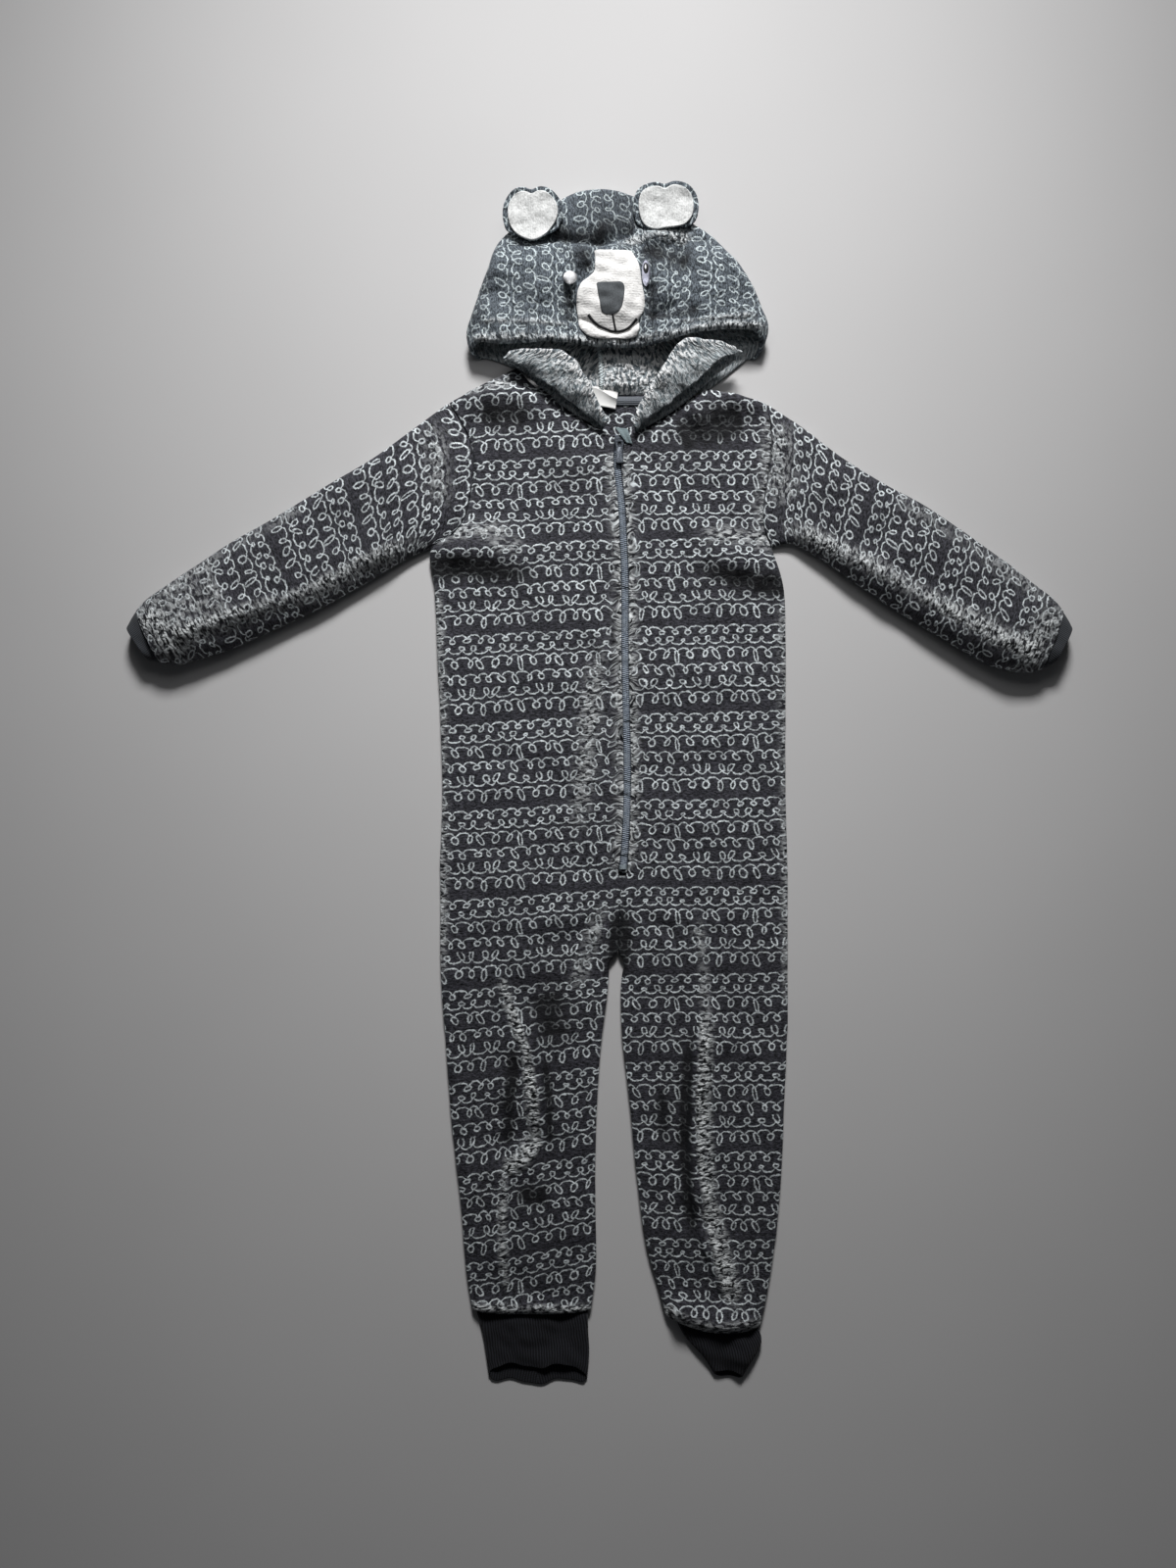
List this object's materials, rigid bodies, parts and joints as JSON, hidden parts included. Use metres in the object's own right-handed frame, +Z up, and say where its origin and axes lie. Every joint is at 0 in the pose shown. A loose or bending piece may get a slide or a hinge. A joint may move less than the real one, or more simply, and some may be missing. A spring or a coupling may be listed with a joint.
{
  "type": "hooded onesie pajama",
  "caption": "Toddler's hooded fleece onesie pajama with a bear face and ears on the hood, a front zip, bound sleeve ends and ribbed ankle cuffs, laid flat on its back.",
  "frame": {"origin": "bottom centre of the laid garment, on the surface it lies on", "axes": "+Y from the ankles to the hood, +Z up from the surface, +X to the wearer's left, which is the picture's right"},
  "size_m": [0.8393, 1.0632, 0.039],
  "materials": {
    "printed_fleece": "charcoal fleece with rows of pale loops",
    "white_fleece": "short white fleece",
    "dark_rib": "ribbed knit",
    "grey_jersey": "elastic jersey binding",
    "grey_felt": "felt",
    "grey_tape": "woven tape",
    "pale_ribbon": "satin ribbon",
    "white_label": "bare satin label",
    "zip_tape": "woven tape",
    "dark_metal": "dark lacquer"
  },
  "bodies": {
    "garment": {"back": "printed_fleece", "front_right": "printed_fleece", "front_left": "printed_fleece", "sleeve_right": "printed_fleece", "sleeve_left": "printed_fleece", "sleeve_binding_right": "grey_jersey", "sleeve_binding_left": "grey_jersey", "ankle_cuff_right": "dark_rib", "ankle_cuff_left": "dark_rib", "hood_right": "printed_fleece", "hood_left": "printed_fleece", "hood_centre": "printed_fleece", "hood_front_right": "printed_fleece", "hood_front_left": "printed_fleece", "ear_right": "printed_fleece", "ear_left": "printed_fleece", "ear_lining_right": "white_fleece", "ear_lining_left": "white_fleece", "face_patch": "white_fleece", "nose": "grey_felt", "neck_tape": "grey_tape", "neck_label": "white_label", "zip_tape_right": "zip_tape", "zip_tape_left": "zip_tape", "zip_ribbon": "pale_ribbon", "zip_slider": "dark_metal"},
    "pull": {"zip_pull": "dark_metal"}
  },
  "joints": [
    {"name": "zip_pull_swing", "type": "hinge", "parent": "garment", "child": "pull", "pos_m": [0.01786, 0.3084, 0.00912], "axis": [-1, 0, 0], "range_deg": [0, 140]}
  ]
}
